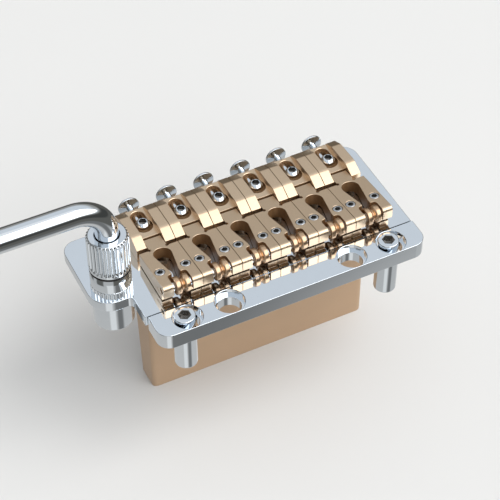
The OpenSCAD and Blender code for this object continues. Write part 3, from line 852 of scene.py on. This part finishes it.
class BRIDGE_OT_holder(bpy.types.Operator):
    """Socket, fluted lock ring, spacer, seal and fluted collar that hold the arm"""
    bl_idname = "bridge.holder"
    bl_label = "Arm holder"

    def execute(self, context):
        neck, liner, r = 4.0, 3.4, 5.15
        a, b = low("arm_socket"), high("arm_socket")
        socket_r, plate_z, floor_z = 5.12, low("base_plate").z, a.z + 1
        socket = soft_profile([(0, a.z), (socket_r, a.z, 0.35), (socket_r, plate_z, 0.02), (neck, plate_z, 0),
                               (neck, b.z, 0.1), (liner, b.z, 0.1), (liner, floor_z, 0.1), (0, floor_z)])
        piece = drawn("arm_socket_looks", lambda bm: turned(bm, socket, 96, (ARM_AXIS.x, ARM_AXIS.y, 0)))
        smooth(piece)
        dress(piece, finish("chrome"), "plate", "arm_socket")

        a, b = low("arm_lock_ring"), high("arm_lock_ring")
        wall, rows = b.z - a.z - 0.35, 10
        ring = [(neck, a.z), (r - 0.04, a.z)] + [(r, a.z + wall * k / rows) for k in range(1, rows + 1)]
        ring += [(r - 0.06, b.z - 0.2), (r - 0.16, b.z - 0.08), (r - 0.3, b.z), (neck, b.z)]
        ring_around_arm("arm_lock_ring_looks", ring, "arm_lock_ring", "plate", "chrome",
                        (a.z - 1, b.z - 0.15 - size("flute_radius")))

        a, b = low("arm_spacer_ring"), high("arm_spacer_ring")
        spacer = soft_profile([(neck, a.z), (r, a.z, 0.16), (r, b.z - 1.4, 0.5), (r - 0.4, b.z, 0.12),
                               (neck, b.z)])
        ring_around_arm("arm_spacer_ring_looks", spacer, "arm_spacer_ring", "plate", "chrome")

        a, b = low("arm_seal"), high("arm_seal")
        seal_r = r - 0.05
        seal = soft_profile([(neck, a.z), (seal_r, a.z, 0.2), (seal_r, b.z, 0.2), (neck, b.z)])
        ring_around_arm("arm_seal_looks", seal, "arm_seal", "plate", "rubber")

        a, b = low("arm_collar"), high("arm_collar")
        hole, bore, roof, corner, rows = 3.1, 4.05, 2.0, 0.3, 34
        shoulder = 0.6
        wall_z = b.z - shoulder
        start, end = a.z + 1.1, wall_z + 0.1
        collar = [(bore, b.z - roof), (bore, a.z), (r - corner, a.z), (r - 0.12, a.z + 0.06),
                  (r - 0.03, a.z + 0.18)]
        collar += [(r, a.z + corner + (wall_z - a.z - corner) * k / rows) for k in range(rows + 1)]
        collar += soft_profile([(r, wall_z), (r - 0.05, wall_z + 0.05), (r - shoulder, b.z, 0.15),
                                (hole, b.z, 0.15), (hole, b.z - roof)])[1:]
        ring_around_arm("arm_collar_looks", collar, "arm_collar", "collar", "chrome",
                        (start + size("flute_radius"), end))
        paint(finish("nylon"), "arm_liner")
        return {"FINISHED"}


class BRIDGE_OT_arm(bpy.types.Operator):
    """Bent tremolo arm with a domed tip"""
    bl_idname = "bridge.arm"
    bl_label = "Tremolo arm"

    def execute(self, context):
        a, b = low("tremolo_arm"), high("tremolo_arm")
        r = (b.y - a.y) / 2
        run_z, y = b.z - r, ARM_AXIS.y
        # Heights above the rounded foot's end, and the share of the rod's radius at each
        foot = ((0.0, 0.85), (0.2, 0.96), (0.5, 1.0))
        points = [(ARM_AXIS.x, y, a.z + up) for up, _ in foot] + [(ARM_AXIS.x, y, run_z)]
        shares = [part for _, part in foot] + [1.0]
        tip_steps, least_share = 14, 0.012
        for k in range(tip_steps + 1):
            turn = math.pi / 2 * k / tip_steps
            points.append((a.x + r * (1 - math.sin(turn)), y, run_z))
            shares.append(max(least_share, math.cos(turn)))
        mesh = bpy.data.meshes.new("arm path")
        mesh.from_pydata([Vector(p) * MM for p in points], [(k, k + 1) for k in range(len(points) - 1)], [])
        share = mesh.attributes.new("share", "FLOAT", "POINT")
        share.data.foreach_set("value", shares)
        arm = bpy.data.objects.new("tremolo_arm_looks", mesh)
        bpy.context.scene.collection.objects.link(arm)
        grow(arm, rod_tree(), rod_radius=r * MM, bend_radius=size("arm_bend") * MM, material=finish("chrome"))
        smooth(arm)
        dress(arm, finish("chrome"), "arm", "tremolo_arm")
        return {"FINISHED"}


# Saddles and what they carry

DECK_FALL = math.radians(7.4)
DECK_FRONT, TOE_R = 5.6, 1.1


def deck_at(y):
    """Height of a saddle's deck above the plate."""
    return DECK_FRONT - (y - low("saddle_1").y - TOE_R) * math.tan(DECK_FALL)


def copies_along_strings(name, piece, slot, body, *nodes, inner="socket_shade"):
    """Puts a piece drawn for the middle of the bridge at each string, one object a string."""
    for n in STRINGS:
        mesh = piece.data.copy()
        mesh.transform(Matrix.Translation((string_x(n) * MM, 0, 0)))
        copy = bpy.data.objects.new(f"{name}_{n}_looks", mesh)
        bpy.context.scene.collection.objects.link(copy)
        smooth(copy)
        dress(copy, finish(slot), f"{body}_{n}", *[f"{node}_{n}" for node in nodes], inner=inner)
    bpy.data.objects.remove(piece)


class BRIDGE_OT_saddles(bpy.types.Operator):
    """Six saddles with a roller pocket, a teardrop string hole and two screw holes"""
    bl_idname = "bridge.saddles"
    bl_label = "Saddles"

    def execute(self, context):
        a, b, edge = low("saddle_1"), high("saddle_1"), size("fine_edge")
        wide = (b.x - a.x) / 2
        toe_y, under_z, step_y, floor_z = a.y, 2.15, a.y + 1.6, 0.34
        shoulder_y, tongue_y, tongue = 20.6, b.y - 0.2, 2.35

        def side_view(rear_y, ease):
            return rounded([(toe_y, under_z, 0.12), (step_y, under_z, 0.1), (step_y, floor_z, 0.1),
                            (rear_y, floor_z, 0.1), (rear_y, deck_at(rear_y), ease),
                            (toe_y, deck_at(toe_y), TOE_R)])

        def reaching(rear_y, ease, half):
            """Draws a slab from the toe to rear_y, so wide to each side."""
            return lambda bm: slab(bm, side_view(rear_y, ease), round_levels(-half, half, edge, edge), lying)
        saddle = drawn("saddle", reaching(shoulder_y, 0.15, wide))
        combine(saddle, drawn("tongue", reaching(tongue_y, 0.1, tongue)), "UNION")

        # The pocket and the teardrop are one opening from the deck down
        pocket_w, pocket_y, neck_w, end_r, end_y = 2.55, ROLLER_AXIS.y + 2.78, 1.1, 2.3, 18.0
        neck_y = pocket_y + 1.2
        lead, steps = math.asin((end_r - neck_w) / (end_y - neck_y)), 28
        right = [(pocket_w, toe_y - PAST, 0), (pocket_w, pocket_y, 1.0), (neck_w, pocket_y, 0.25),
                 (neck_w, neck_y, 0.8)]
        arc = [(end_r * math.cos(t), end_y + end_r * math.sin(t), 0)
               for t in [-lead + (math.pi + 2 * lead) * k / steps for k in range(steps + 1)]]
        left = [(-x, y, r) for x, y, r in reversed(right)]
        outline = rounded(right + arc + left)

        def opening(bm):
            rim = 0.1
            rings = [[Vector((p.x, p.y, TOP_Z - PAST)) for p in outline]]
            for out, below in ((0, rim), (-0.03, rim * 0.45), (-rim, 0.0), (-rim, -PAST)):
                rings.append([Vector((p.x, p.y, TOP_Z + deck_at(p.y) - below)) for p in inset(outline, out)])
            skin(bm, rings)

        def small_cuts(bm):
            relief_r, above, beside, bevel, bevel_run = 0.45, 7, 6, 0.35, 9
            for side in (-1, 1):
                rod(bm, relief_r, -PAST, above, 24, (side * tongue, shoulder_y, TOP_Z))
                tool = bmesh.ops.create_cube(bm, size=1)["verts"]
                corner = Matrix.Translation((side * wide, toe_y, TOP_Z + under_z))
                turn = Matrix.Rotation(math.pi / 4, 4, "Y")
                stretch = Matrix.Diagonal((bevel, bevel_run, bevel, 1))
                bmesh.ops.transform(bm, verts=tool, matrix=corner @ turn @ stretch)
            for y, z in ((ROLLER_AXIS.y, ROLLER_AXIS.z), (TILT_AXIS_Y, TILT_AXIS_Z)):
                rod(bm, PIN_HOLE_R, -beside, beside, 32, (0, y, z), "X")

        def screw_holes(bm):
            r, rim, deep = 1.31, 0.07, 8
            profile = [(0, -deep), (r, -deep), (r, -rim), (r + rim, 0), (r + rim, PAST), (0, PAST)]
            for side in (-1, 1):
                tool = bmesh.new()
                turned(tool, profile, 40)
                tool.transform(screw_place(side))
                shift_into(bm, tool)
        for cut in (opening, small_cuts, screw_holes):
            combine(saddle, drawn("cut", cut), "DIFFERENCE")
        inside_x, inside_y = (pocket_w + 0.1) * MM, (end_y + end_r + 0.1) * MM
        # Faces inside the pocket and teardrop, the tongue's rear face and the undersides take the recess
        # finish: painted shade that darkens them and their mirror image in the plate
        for face in saddle.data.polygons:
            inside = abs(face.center.x) < inside_x and face.center.y < inside_y and abs(face.normal.z) < 0.5
            behind = face.normal.y > 0.9 and abs(face.center.y - tongue_y * MM) < edge * MM
            under = face.normal.z < -0.9 and abs(face.normal.x) < 0.1
            face.material_index = int(inside or behind or under)
        copies_along_strings("saddle", saddle, "bronze", "saddle", "saddle", inner="recess")
        return {"FINISHED"}


def shift_into(bm, other):
    """Adds another bmesh to this one."""
    mesh = bpy.data.meshes.new("part")
    other.to_mesh(mesh)
    other.free()
    bm.from_mesh(mesh)
    bpy.data.meshes.remove(mesh)


def screw_place(side):
    """Where a height screw's top sits on the deck, with Z square to the deck."""
    x, y = 3.4, 12.0
    return Matrix.Translation((side * x, y, TOP_Z + deck_at(y))) @ Matrix.Rotation(-DECK_FALL, 4, "X")


class BRIDGE_OT_rollers(bpy.types.Operator):
    """Grooved rollers, their axles with washers, and the saddles' tilt pins"""
    bl_idname = "bridge.rollers"
    bl_label = "Rollers and pins"

    def execute(self, context):
        half, r, groove, bore = 1.9, 2.28, 1.5, 0.8
        flange, floor = 0.62, 0.1
        profile = [(bore, -half), (r, -half, 0.28), (r, -flange, 0.3), (groove, -floor, 0.1),
                   (groove, floor, 0.1), (r, flange, 0.3), (r, half, 0.28), (bore, half)]
        centre = (0, ROLLER_AXIS.y, ROLLER_AXIS.z)
        roller = drawn("roller", lambda bm: turned(bm, soft_profile(profile), 64, centre, "X", closed=True))
        copies_along_strings("roller", roller, "copper", "roller", "roller")

        # Along each pin from its bass end, which a recess marks on the axle, past the two washers
        pin_r, bass_end, treble_end, recess, washer, inner, outer = 0.75, -4.75, 5.2, 0.6, 1.2, 1.95, 2.55
        tilt_bass, tilt_treble = -4.2, 5.0

        def pins(bm):
            axle = [(0, bass_end + recess), (0.3, bass_end + recess, 0), (0.38, bass_end, 0.05),
                    (pin_r, bass_end, 0.08), (pin_r, -outer, 0), (washer, -outer, 0.05),
                    (washer, -inner, 0.05), (pin_r, -inner, 0), (pin_r, inner, 0), (washer, inner, 0.05),
                    (washer, outer, 0.05), (pin_r, outer, 0), (pin_r, treble_end, 0.08), (0, treble_end)]
            turned(bm, soft_profile(axle), 40, centre, "X")
            tilt = [(0, tilt_bass), (pin_r, tilt_bass, 0.1), (pin_r, tilt_treble, 0.1), (0, tilt_treble)]
            turned(bm, soft_profile(tilt), 32, (0, TILT_AXIS_Y, TILT_AXIS_Z), "X")
        copies_along_strings("saddle_pins", drawn("pins", pins), "chrome", "saddle", "saddle_pins")
        return {"FINISHED"}


class BRIDGE_OT_carriages(bpy.types.Operator):
    """Carriages between whose ears the saddles tilt, with the slot of the clamp screw"""
    bl_idname = "bridge.carriages"
    bl_label = "Carriages"

    def execute(self, context):
        a, b, edge = low("carriage_1"), high("carriage_1"), size("fine_edge")
        wide, ear_in, under_z = (b.x - a.x) / 2, 2.5, 0.05
        side_view = rounded([(a.y, under_z, 0.15), (b.y, under_z, 0.15), (b.y, 3.3, 0.25), (32.9, 4.8, 1.5),
                             (25.6, 5.2, 2.2), (a.y, 3.5, 0.12)])

        def ear(side):
            inner, outer = sorted((side * ear_in, side * wide))
            return lambda bm: slab(bm, side_view, round_levels(inner, outer, edge, edge), lying)
        carriage = drawn("carriage", ear(-1))
        combine(carriage, drawn("ear", ear(1)), "UNION")
        # The bed between the ears reaches into them by the overlap
        bed_y, bed_rear, bed_z, overlap = 25.6, b.y - 0.02, 3.2, 0.3
        bed = rounded([(bed_y, under_z, 0.1), (bed_rear, under_z, 0.1), (bed_rear, bed_z, 0.2),
                       (bed_y, bed_z, 0.08)])
        bed_levels = [(0, -ear_in - overlap), (0, ear_in + overlap)]
        combine(carriage, drawn("bed", lambda bm: slab(bm, bed, bed_levels, lying)), "UNION")
        front, rear, floor_z, head, shank, keyhole_r = 29.65, 33.35, 2.3, 1.85, 1.35, 2.4
        above, steps = 7, 16

        def stadium(r, longer=0.0):
            """The slot's outline at a radius, made longer at its rear end."""
            arc = [math.pi * k / steps for k in range(steps + 1)]
            return ([Vector((r * math.cos(t), rear + longer + r * math.sin(t))) for t in arc]
                    + [Vector((-r * math.cos(t), front - r * math.sin(t))) for t in arc])

        def through(bm):
            slab(bm, stadium(shank, longer=0.45), [(0, TOP_Z - PAST), (0, TOP_Z + above)], upright)

        def recess(bm):
            rim = 0.12
            slab(bm, stadium(head), [(0, TOP_Z + floor_z), (0, TOP_Z + bed_z - rim), (-rim, TOP_Z + bed_z),
                                     (-rim, TOP_Z + above)], upright)

        def keyhole(bm):
            rod(bm, keyhole_r, floor_z, above, 48, (0, front, TOP_Z))

        def cross_holes(bm):
            thread_r, mouth_r, lead, start, thread_z, pin_start = 0.95, 1.1, 0.15, 31, TOP_Z + 1.3, -4.3
            turned(bm, [(0, start), (thread_r, start), (thread_r, b.y - lead), (mouth_r, b.y),
                        (mouth_r, b.y + PAST), (0, b.y + PAST)], 32, (0, 0, thread_z), "Y")
            rod(bm, PIN_HOLE_R, pin_start, wide + PAST, 32, (0, TILT_AXIS_Y, TILT_AXIS_Z), "X")
        for cut in (cross_holes, through, recess, keyhole):
            combine(carriage, drawn("cut", cut), "DIFFERENCE")
        # The bed's front face across the gap and the slot's walls below the bed take the recess finish:
        # painted shade for the gap and the slot
        for face in carriage.data.polygons:
            x, y, z = face.center / MM
            inside = abs(x) < keyhole_r + 0.1 and front - keyhole_r < y < rear + head + 0.1
            below = TOP_Z + 0.2 < z < TOP_Z + bed_z - 0.13 and face.normal.z > -0.5
            ahead = face.normal.y < -0.9 and abs(y - bed_y) < edge
            face.material_index = int(ahead or inside and below)
        copies_along_strings("carriage", carriage, "bronze", "carriage", "carriage", inner="recess")
        return {"FINISHED"}


class BRIDGE_OT_screws(bpy.types.Operator):
    """Height screws in the saddles, clamp screws in the carriages and thumb screws behind them"""
    bl_idname = "bridge.screws"
    bl_label = "Screws"

    def execute(self, context):
        r, tip_r, hex_r, end, tip_end = 1.24, 0.6, 0.65, -4.2, -4.85
        height = soft_profile([(0, tip_end), (tip_r, tip_end, 0.1), (r, end, 0.1), (r, 0, 0.17),
                               (hex_r + 0.2, 0)], steps=4)
        height += hex_socket(hex_r, 0, rim=0.06, lead=0.06, depth=1.4, cone=0.2)

        def both(bm):
            for side in (-1, 1):
                part = bmesh.new()
                turned(part, height)
                part.transform(screw_place(side))
                shift_into(bm, part)
        screws = drawn("height_screws", both)
        copies_along_strings("height_screws", screws, "steel", "height", "height_screws")

        a, b = low("clamp_screw_1"), high("clamp_screw_1")
        head, shank, seat, hex_r, chamfer = 1.8, 1.2, TOP_Z + 2.35, 0.9, 0.6
        clamp = soft_profile([(0, a.z), (shank, a.z, 0.1), (shank, seat, 0.03), (head, seat, 0.12),
                              (head, b.z - chamfer, 0.12), (head - chamfer, b.z, 0.1), (hex_r + 0.08, b.z)])
        clamp += hex_socket(hex_r, b.z, rim=0.05, lead=0.08, depth=1.3, cone=0.3)
        grow_row("clamp_screws_looks", clamp, made("row of pieces", row_tree), 6, PITCH, "plate",
                 *[f"clamp_screw_{n}" for n in STRINGS], y=middle("clamp_screw_1").y, first=string_x(1))

        a, b = low("thumb_screw_1"), high("thumb_screw_1")
        rim, shank, tip, hub_y, rim_y = 2.85, 0.9, 0.4, b.y - 0.8, b.y - 0.55
        thumb = soft_profile([(0, a.y), (shank - tip, a.y, 0), (shank, a.y + tip, 0.1), (shank, hub_y, 0.1),
                              (rim, rim_y, 0.12), (rim, b.y, 0.2), (0, b.y)], steps=5)
        screw = drawn("thumb_screw", lambda bm: turned(bm, thumb, 64, (0, 0, middle("thumb_screw_1").z), "Y"))
        copies_along_strings("thumb_screw", screw, "chrome", "thumb", "thumb_screw")
        return {"FINISHED"}


# Studio: a floor, light from all round by direction, one lamp and the camera

# Brightness of the room as polished metal shows it, in patches of azimuth and elevation. Azimuth is 0 at the
# treble side and grows towards the rear. Each row is from, to, lowest, highest, softness and linear colour.
ROOM = (0.50, 0.50, 0.49)
PATCHES = (
    (-180, 180, -90, -52, 8, (0.60, 0.59, 0.57)),
    (20, 170, 4, 26, 10, (0.34, 0.33, 0.31)),
    (-180, 180, 41, 95, 15, (0.71, 0.75, 0.79)),
    (-180, 180, 74, 95, 6, (0.95, 0.96, 0.97)),
    (-130, -104, -56, -30, 8, (0.82, 0.82, 0.80)),
    (20, 50, -56, -40, 8, (0.74, 0.73, 0.71)),
    (-84, -66, -52, -36, 16, (0.19, 0.19, 0.185)),
    (-96, 62, -30, 14, 8, (0.125, 0.122, 0.110)),
    (-96, 62, -4, 10, 6, (0.060, 0.060, 0.056)),
    (30, 150, -24, 4, 12, (0.110, 0.105, 0.095)),
    (-180, -152, -33, 36, 9, (0.13, 0.13, 0.12)),
    (-98, -6, 26, 72, 7, (2.8, 2.8, 2.8)),
)


def world_light(tree):
    """The room's colour in the direction that a ray goes."""
    ray = add_node(tree, "ShaderNodeTexCoord").outputs["Generated"]
    xyz = add_node(tree, "ShaderNodeSeparateXYZ", {"Vector": ray}).outputs
    azimuth = math_node(tree, "DEGREES", math_node(tree, "ARCTAN2", xyz["Y"], xyz["X"]))
    elevation = math_node(tree, "DEGREES", math_node(tree, "ARCSINE", xyz["Z"]))
    light = None
    for start, end, bottom, top, soft, shade in PATCHES:
        share = band(tree, elevation, bottom, top, soft)
        if end - start < 360:
            middle_azimuth = (start + end) / 2
            away = math_node(tree, "SUBTRACT", azimuth, middle_azimuth)
            away = math_node(tree, "WRAP", away, 180.0, -180.0)
            share = math_node(tree, "MULTIPLY", share,
                              band(tree, away, start - middle_azimuth, end - middle_azimuth, soft))
        mix = add_node(tree, "ShaderNodeMix", {}, data_type="RGBA")
        mix.inputs[6].default_value = (*ROOM, 1)
        mix.inputs[7].default_value = (*shade, 1)
        tree.links.new(share, mix.inputs[0])
        if light is not None:
            tree.links.new(light, mix.inputs[6])
        light = mix.outputs[2]
    return light


def band(tree, value, start, end, soft):
    """1 between start and end, easing to 0 over the softness outside them."""
    def ramp(low_end, high_end, first, last):
        return add_node(tree, "ShaderNodeMapRange", {"Value": value}, {
            "From Min": low_end, "From Max": high_end, "To Min": first, "To Max": last},
            interpolation_type="SMOOTHSTEP").outputs["Result"]
    rise = ramp(start - soft, start + 1.0, 0.0, 1.0)
    fall = ramp(end - 1.0, end + soft, 1.0, 0.0)
    return math_node(tree, "MULTIPLY", rise, fall)


class BRIDGE_OT_stage(bpy.types.Operator):
    """Pale floor, soft room light, a key lamp and the camera"""
    bl_idname = "bridge.stage"
    bl_label = "Studio"

    def execute(self, context):
        scene = context.scene
        world = bpy.data.worlds.new("studio_room")
        world.use_nodes = True
        tree = world.node_tree
        tree.nodes.clear()
        room = add_node(tree, "ShaderNodeBackground", {"Color": world_light(tree)}, {"Strength": 1.0})
        pale = add_node(tree, "ShaderNodeBackground", None, {"Color": tint("#E7E7E6"), "Strength": 1.0})
        seen = add_node(tree, "ShaderNodeLightPath").outputs["Is Camera Ray"]
        mix = add_node(tree, "ShaderNodeMixShader", {0: seen, 1: room.outputs[0], 2: pale.outputs[0]})
        add_node(tree, "ShaderNodeOutputWorld", {"Surface": mix.outputs[0]})
        scene.world = world

        floor_z, reach = CAD_BOX[0][2], 1.2
        mesh = bpy.data.meshes.new("studio_floor")
        corners = [(x * reach, y * reach, floor_z) for x, y in ((-1, -1), (1, -1), (1, 1), (-1, 1))]
        mesh.from_pydata(corners, [], [(0, 1, 2, 3)])
        floor = bpy.data.objects.new("studio_floor", mesh)
        scene.collection.objects.link(floor)
        mesh.materials.append(floor_paint())

        lamp = bpy.data.lights.new("key_lamp", "AREA")
        lamp.shape, lamp.size, lamp.energy = "DISK", 0.6, 2.3
        key = bpy.data.objects.new("key_lamp", lamp)
        scene.collection.objects.link(key)
        aim(key, Vector((0.5, -0.25, 0.9)), Vector((0.0, 0.015, 0.0)))
        key.visible_glossy = False

        lens = bpy.data.cameras.new("camera")
        lens.lens, lens.sensor_width, lens.clip_start = 115.0, 36.0, 0.01
        camera = bpy.data.objects.new("camera", lens)
        scene.collection.objects.link(camera)
        # Worked out from the photograph's straight edges: 46 degrees up, 26 degrees to the bass side
        right, up = Vector((0.89539, -0.44531, 0.0)), Vector((0.32166, 0.64677, 0.69156))
        place = Matrix((right, up, right.cross(up))).transposed().to_4x4()
        place.translation = Vector((-127.135, -232.850, 291.501)) * MM
        camera.matrix_world = place
        scene.camera = camera
        scene.view_settings.view_transform = "Standard"
        return {"FINISHED"}


def aim(obj, place, target):
    """Places an object and turns its -Z towards a target."""
    turn = (target - place).to_track_quat("-Z", "Y").to_matrix().to_4x4()
    obj.matrix_world = Matrix.Translation(place) @ turn


def floor_paint():
    """Matte studio paper, slightly mottled. Polished metal looks through it and shows the room below."""
    material, tree, shader, place = new_material("studio_paper")
    cloud = noise(tree, place, 60, 2)
    tree.links.new(tone(tree, cloud, colours().floor, 0.995, 1.0), shader["Base Color"])
    shader["Roughness"].default_value = 0.9
    shader["Specular IOR Level"].default_value = 0.1
    paper = tree.nodes["Principled BSDF"].outputs[0]
    clear = add_node(tree, "ShaderNodeBsdfTransparent").outputs[0]
    glossy = add_node(tree, "ShaderNodeLightPath").outputs["Is Glossy Ray"]
    mix = add_node(tree, "ShaderNodeMixShader", {0: glossy, 1: paper, 2: clear})
    tree.links.new(mix.outputs[0], tree.nodes["Material Output"].inputs["Surface"])
    return material


# Panel and registration

STEPS = ("bar", "studs", "plate", "block", "holder", "arm", "saddles", "rollers", "carriages", "screws",
         "stage")


class BRIDGE_PT_panel(bpy.types.Panel):
    """Sizes, colours and steps of the bridge"""
    bl_label = "Tremolo bridge"
    bl_idname = "BRIDGE_PT_panel"
    bl_space_type = "VIEW_3D"
    bl_region_type = "UI"
    bl_category = "Bridge"

    def draw(self, context):
        layout = self.layout
        for group in (context.scene.bridge_sizes, context.scene.bridge_colours):
            box = layout.box()
            for key in group.bl_rna.properties.keys():
                if key not in ("rna_type", "name"):
                    box.prop(group, key)
        for step in STEPS:
            layout.operator(f"bridge.{step}")


CLASSES = (BridgeColours, BridgeSizes, BRIDGE_OT_bar, BRIDGE_OT_studs, BRIDGE_OT_plate, BRIDGE_OT_block,
           BRIDGE_OT_holder, BRIDGE_OT_arm, BRIDGE_OT_saddles, BRIDGE_OT_rollers, BRIDGE_OT_carriages,
           BRIDGE_OT_screws, BRIDGE_OT_stage, BRIDGE_PT_panel)


def register():
    for item in CLASSES:
        bpy.utils.register_class(item)
    bpy.types.Scene.bridge_colours = bpy.props.PointerProperty(type=BridgeColours)
    bpy.types.Scene.bridge_sizes = bpy.props.PointerProperty(type=BridgeSizes)


def unregister():
    del bpy.types.Scene.bridge_sizes
    del bpy.types.Scene.bridge_colours
    for item in reversed(CLASSES):
        bpy.utils.unregister_class(item)


def main():
    register()
    for step in STEPS:
        getattr(bpy.ops.bridge, step)()


if __name__ == "__main__":
    main()
